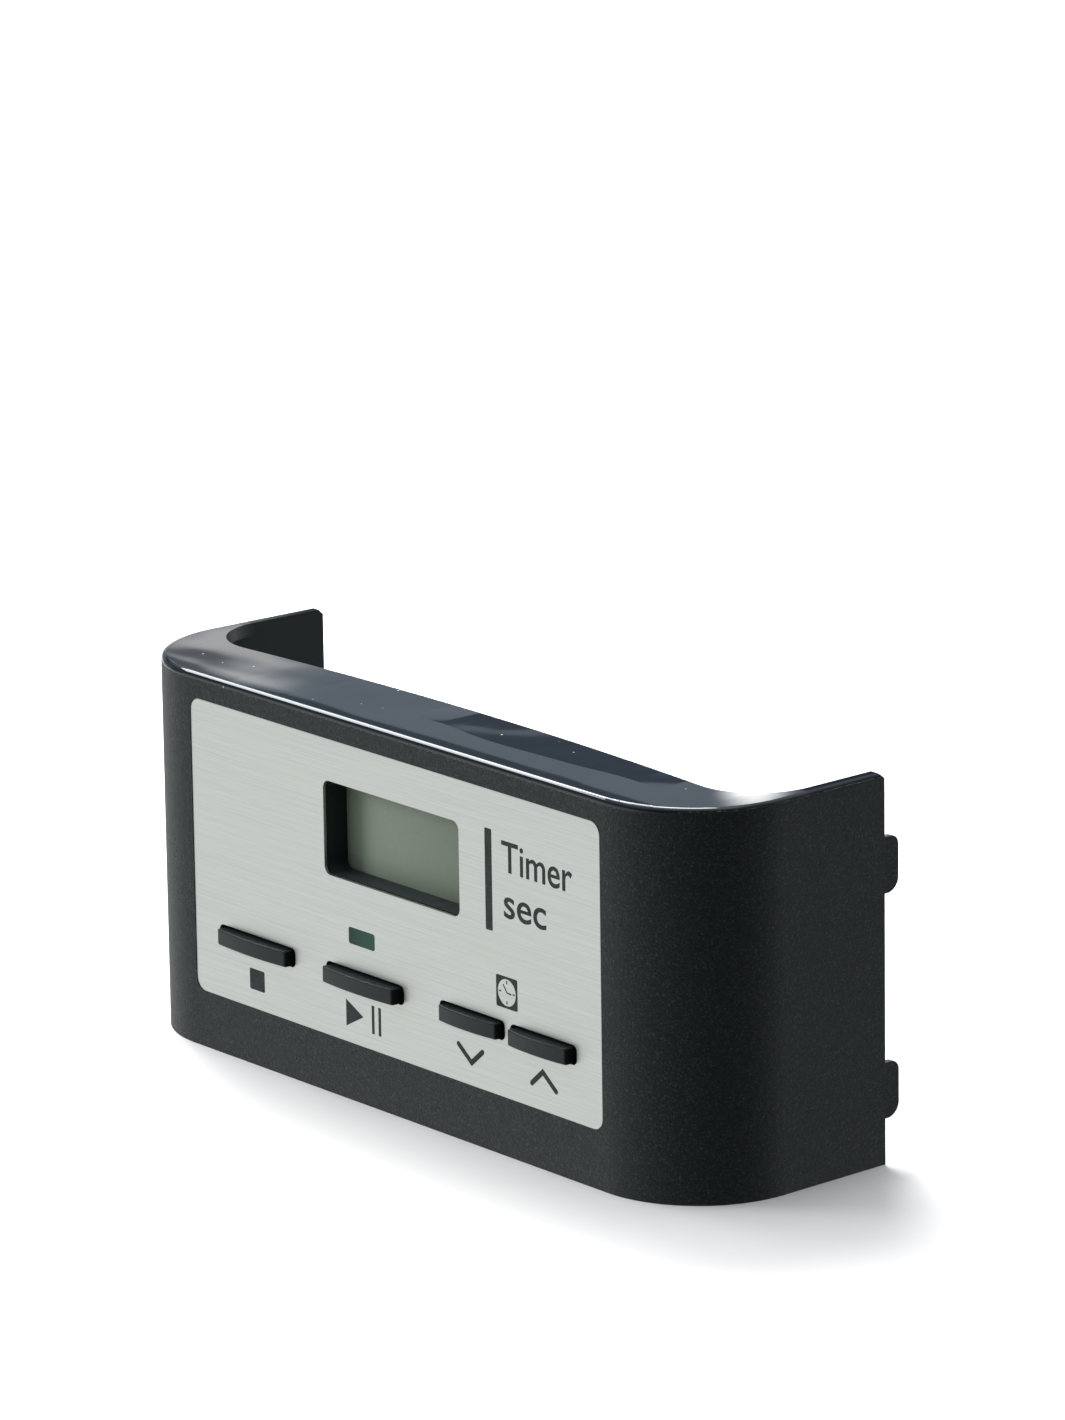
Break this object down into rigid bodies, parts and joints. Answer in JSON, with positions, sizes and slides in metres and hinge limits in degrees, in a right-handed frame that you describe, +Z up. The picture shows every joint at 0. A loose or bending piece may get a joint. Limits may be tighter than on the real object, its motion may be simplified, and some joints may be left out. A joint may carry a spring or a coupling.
{
  "type": "timer control panel",
  "caption": "Wrap-around black front cover with a brushed faceplate, recessed timer display, slim push buttons, circuit board and snap lugs on its two side wings.",
  "frame": {"origin": "under the middle of the whole assembly, on the surface that the cover's bottom edge stands on", "axes": "+X across the panel to the right as the user sees it, +Y from the faceplate towards the back, +Z up"},
  "size_m": [0.13, 0.0428, 0.0576],
  "materials": {
    "cover_plastic": "spark-textured black moulding with a polished top deck",
    "brushed_plate": "fine horizontal brushing, satin",
    "glue_film": "clear acrylic adhesive film",
    "lamp_lens": "dark green tinted clear plastic, polished",
    "button_plastic": "black, fine semi-gloss moulding",
    "plunger_plastic": "dark switch plunger",
    "switch_plastic": "black switch base",
    "switch_metal": "bright stamped steel",
    "dome_metal": "spring steel dome",
    "tinned_metal": "tin plated terminal",
    "board_green": "green solder mask over glass fibre",
    "screw_steel": "zinc plated steel",
    "frame_plastic": "black display frame",
    "display_film": "grey-green polariser of an unpowered display",
    "display_glass": "clear glass",
    "guide_plastic": "milky light guide",
    "strip_rubber": "layered conductive silicone",
    "lamp_body": "white and yellow lamp body",
    "chip_plastic": "black epoxy",
    "crystal_steel": "drawn steel can",
    "can_aluminium": "bare aluminium can",
    "chip_ceramic": "tan ceramic chip",
    "socket_nylon": "natural nylon",
    "contact_brass": "plated contact"
  },
  "bodies": {
    "panel": {"front_cover": "cover_plastic", "faceplate": "brushed_plate", "faceplate_glue": "glue_film", "led_lens": "lamp_lens", "switch_bases": "switch_plastic", "switch_lids": "switch_metal", "switch_domes": "dome_metal", "switch_legs": "tinned_metal", "circuit_board": "board_green", "board_screws": "screw_steel", "lcd_frame": "frame_plastic", "lcd_front_film": "display_film", "lcd_front_glass": "display_glass", "lcd_rear_glass": "display_glass", "lcd_rear_film": "display_film", "lcd_light_guide": "guide_plastic", "lcd_rubber_strip": "strip_rubber", "backlight_leds": "lamp_body", "status_led": "lamp_body", "microcontroller": "chip_plastic", "microcontroller_pins": "tinned_metal", "crystal": "crystal_steel", "capacitor_cans": "can_aluminium", "capacitor_feet": "chip_plastic", "chip_parts": "chip_ceramic", "socket_shroud": "socket_nylon", "socket_contacts": "contact_brass"},
    "stop_button": {"stop_cap": "button_plastic", "stop_plunger": "plunger_plastic"},
    "start_button": {"start_cap": "button_plastic", "start_plunger": "plunger_plastic"},
    "down_button": {"down_cap": "button_plastic", "down_plunger": "plunger_plastic"},
    "up_button": {"up_cap": "button_plastic", "up_plunger": "plunger_plastic"}
  },
  "joints": [
    {"name": "stop_press", "type": "slide", "parent": "panel", "child": "stop_button", "axis": [0, 1, 0], "range_m": [0, 0.00035], "stiffness_N_per_m": 900, "springref_m": -0.0012},
    {"name": "start_press", "type": "slide", "parent": "panel", "child": "start_button", "axis": [0, 1, 0], "range_m": [0, 0.00035], "stiffness_N_per_m": 900, "springref_m": -0.0012},
    {"name": "down_press", "type": "slide", "parent": "panel", "child": "down_button", "axis": [0, 1, 0], "range_m": [0, 0.00035], "stiffness_N_per_m": 900, "springref_m": -0.0012},
    {"name": "up_press", "type": "slide", "parent": "panel", "child": "up_button", "axis": [0, 1, 0], "range_m": [0, 0.00035], "stiffness_N_per_m": 900, "springref_m": -0.0012}
  ]
}
